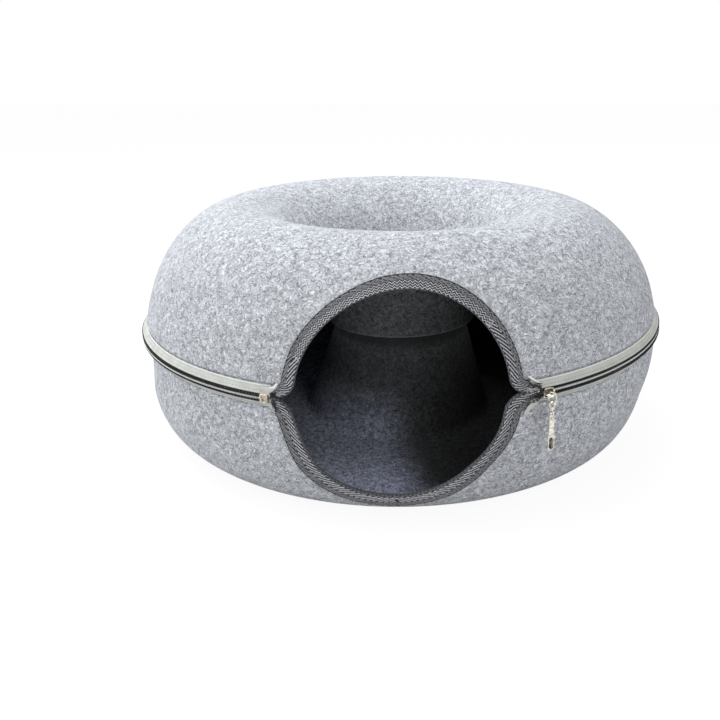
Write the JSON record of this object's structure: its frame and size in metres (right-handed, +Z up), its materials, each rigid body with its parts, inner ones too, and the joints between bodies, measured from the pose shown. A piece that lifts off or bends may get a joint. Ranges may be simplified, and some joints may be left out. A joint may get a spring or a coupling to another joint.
{
  "type": "donut cat tunnel",
  "caption": "Ring-shaped pet tunnel of pressed felt with a bound entrance, a central dish, and two halves joined by a zip with a slider and puller.",
  "frame": {"origin": "centre of the box's foot, on the surface that the tunnel stands on", "axes": "+Z up, the entrance faces -Y, +X to the right as seen from the front"},
  "size_m": [0.5, 0.4868, 0.215],
  "materials": {
    "felt": "heather grey pressed felt",
    "binding": "dark woven edge binding",
    "binding_thread": "pale grey sewing thread",
    "zip_tape": "pale grey woven zip tape",
    "zip_thread": "grey sewing thread",
    "zip_coil": "black nylon coil",
    "pale_metal": "pale plated zinc",
    "stop_metal": "dull plated metal"
  },
  "bodies": {
    "lower_half": {"lower_shell": "felt", "entrance_binding_lower": "binding", "binding_thread_lower": "binding_thread", "zip_tape_lower": "zip_tape", "zip_coil_lower": "zip_coil", "zip_thread_lower": "zip_thread", "bottom_stop": "stop_metal", "top_stop_lower": "pale_metal"},
    "upper_half": {"upper_shell": "felt", "entrance_binding_upper": "binding", "binding_thread_upper": "binding_thread", "zip_tape_upper": "zip_tape", "zip_coil_upper": "zip_coil", "zip_thread_upper": "zip_thread", "top_stop_upper": "pale_metal"},
    "slider": {"zip_slider": "pale_metal"},
    "link": {"pull_link": "pale_metal"},
    "pull_tab": {"puller": "pale_metal"}
  },
  "joints": [
    {"name": "lid_fold", "type": "hinge", "parent": "lower_half", "child": "upper_half", "pos_m": [-0.1021, -0.23581, 0.10966], "axis": [0.9136, -0.4063, 0.0164], "range_deg": [0, 105]},
    {"name": "slider_travel", "type": "hinge", "parent": "lower_half", "child": "slider", "pos_m": [0, -0.00632, 0.107], "axis": [-0.018, 0, 0.9998], "range_deg": [0, 307.3]},
    {"name": "link_swing", "type": "hinge", "parent": "slider", "child": "link", "pos_m": [0.11194, -0.23588, 0.10902], "axis": [-0.8986, -0.4384, -0.0162], "range_deg": [-3, 75]},
    {"name": "puller_swing", "type": "hinge", "parent": "link", "child": "pull_tab", "pos_m": [0.11207, -0.23588, 0.10187], "axis": [0.8289, -0.5592, 0.0149], "range_deg": [-45, 8]}
  ]
}
